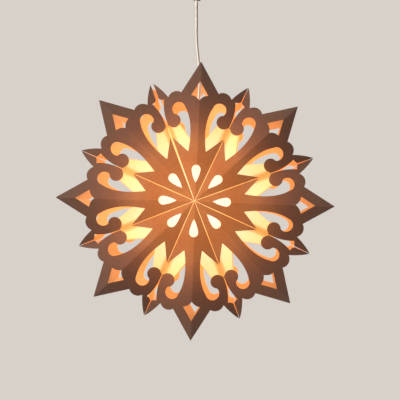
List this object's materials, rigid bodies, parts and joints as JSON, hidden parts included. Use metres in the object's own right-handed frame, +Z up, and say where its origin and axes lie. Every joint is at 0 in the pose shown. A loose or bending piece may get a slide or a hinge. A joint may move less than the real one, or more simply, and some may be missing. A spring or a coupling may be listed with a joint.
{
  "type": "paper star pendant lamp",
  "caption": "Lit paper star of folded, pierced points with small points on the seams, hung by a lamp cord from a hook under a ceiling cup, round a screw-in bulb.",
  "frame": {"origin": "On the ceiling, at the centre of the ceiling plate's top face, midway between its two screw holes", "axes": "+Z up, +X to the viewer's right, and the star's front faces -Y"},
  "size_m": [0.4797, 0.0838, 0.6679],
  "materials": {
    "paper": "matte",
    "liner": "matte",
    "pad": "matte",
    "bulb_glass": "opal",
    "filament": "glowing",
    "cap": "satin",
    "contact": "gloss",
    "white_plastic": "satin",
    "core": "matte",
    "brass": "bright",
    "wire": "drawn",
    "cord": "matte",
    "rubber": "matte",
    "steel": "zinc plated"
  },
  "bodies": {
    "ceiling": {"ceiling_plate": "steel", "ceiling_hook": "steel"},
    "drop_cord": {"cord_eye": "white_plastic", "cord": "cord"},
    "cup": {"ceiling_cup": "white_plastic", "cup_bush": "rubber"},
    "star": {"front_sheet_1": "paper", "front_sheet_2": "paper", "front_sheet_3": "paper", "front_sheet_4": "paper", "front_sheet_5": "paper", "front_sheet_6": "paper", "front_sheet_7": "paper", "front_sheet_8": "paper", "back_sheet_1": "paper", "back_sheet_2": "paper", "back_sheet_3": "paper", "back_sheet_4": "paper", "back_sheet_5": "paper", "back_sheet_6": "paper", "back_sheet_7": "paper", "back_sheet_8": "paper", "inner_wall_1": "paper", "inner_wall_2": "paper", "inner_wall_3": "paper", "inner_wall_4": "paper", "inner_wall_5": "paper", "inner_wall_6": "paper", "inner_wall_7": "paper", "inner_wall_8": "paper", "front_liner": "liner", "back_liner": "liner", "loop_pads": "pad", "hook_pads": "pad", "holder_sleeve": "white_plastic", "holder_core": "core", "screw_shell": "brass", "contact_tongue": "brass", "holder_cap": "white_plastic", "carrier_wire": "wire", "cord_grip": "white_plastic"},
    "bulb_end": {"bulb_contact": "contact"},
    "bulb": {"bulb_glass": "bulb_glass", "bulb_filament": "filament", "bulb_cap": "cap"}
  },
  "joints": [
    {"name": "swing", "type": "hinge", "parent": "ceiling", "child": "drop_cord", "pos_m": [0, 0, -0.026], "axis": [0, 1, 0], "range_deg": [-12, 12]},
    {"name": "cup_slide", "type": "slide", "parent": "drop_cord", "child": "cup", "axis": [0, 0, 1], "range_m": [-0.06, 0]},
    {"name": "cord_twist", "type": "hinge", "parent": "drop_cord", "child": "star", "pos_m": [0, 0, -0.2], "axis": [0, 0, 1], "range_deg": [-180, 180]},
    {"name": "bulb_out", "type": "slide", "parent": "star", "child": "bulb_end", "axis": [0, 0, 1], "range_m": [-0.0115, 0]},
    {"name": "bulb_turn", "type": "hinge", "parent": "bulb_end", "child": "bulb", "pos_m": [0, 0, -0.4], "axis": [0, 0, 1], "range_deg": [-1440, 0]}
  ],
  "couplings": [
    {"joint": "bulb_out", "follows": "bulb_turn", "m_per_rad": 0.00044913}
  ]
}
